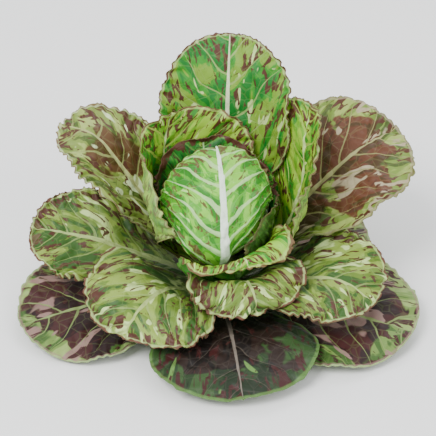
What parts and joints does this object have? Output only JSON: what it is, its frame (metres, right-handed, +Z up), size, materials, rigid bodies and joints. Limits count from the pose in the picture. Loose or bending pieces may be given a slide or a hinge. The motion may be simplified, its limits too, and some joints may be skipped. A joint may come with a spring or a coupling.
{
  "type": "head of lettuce",
  "caption": "Loose head of speckled butterhead lettuce: a closed heart in a ring of upright leaves, spreading leaves below, on a flat cut stem it stands on.",
  "frame": {"origin": "centre of the stem's cut face, which the head stands on, at floor level", "axes": "+Z up along the stem; +X to the right and -Y towards someone who faces the front of the heart, with the tall leaf at the back on the +Y side"},
  "size_m": [0.2801, 0.2707, 0.1659],
  "materials": {
    "stem": "matt",
    "ground_leaf": "satin",
    "spread_leaf": "satin",
    "upright_leaf": "satin",
    "heart_leaf": "satin"
  },
  "bodies": {
    "root": {"stem": "stem", "ground_leaf_left": "ground_leaf", "ground_leaf_right": "ground_leaf", "ground_leaf_back_right": "ground_leaf", "ground_leaf_back_left": "ground_leaf", "ground_leaf_front": "ground_leaf", "ground_leaf_back": "ground_leaf", "spread_leaf_left": "spread_leaf", "spread_leaf_right": "spread_leaf", "spread_leaf_front_left": "spread_leaf", "spread_leaf_far_right": "spread_leaf", "spread_leaf_back_right": "spread_leaf", "spread_leaf_far_left": "spread_leaf", "spread_leaf_front": "spread_leaf", "spread_leaf_back_left": "spread_leaf", "upright_leaf_back": "upright_leaf", "upright_leaf_back_right": "upright_leaf", "upright_leaf_left": "upright_leaf", "upright_leaf_front": "upright_leaf", "cup_leaf_back": "upright_leaf", "cup_leaf_right": "upright_leaf", "heart_leaf_front": "heart_leaf", "heart_leaf_right": "heart_leaf", "heart_leaf_back": "heart_leaf", "heart_leaf_left": "heart_leaf", "inner_leaf_front": "heart_leaf", "inner_leaf_left": "heart_leaf", "inner_leaf_right": "heart_leaf", "bud_leaf_front": "heart_leaf", "bud_leaf_back": "heart_leaf"}
  },
  "joints": []
}
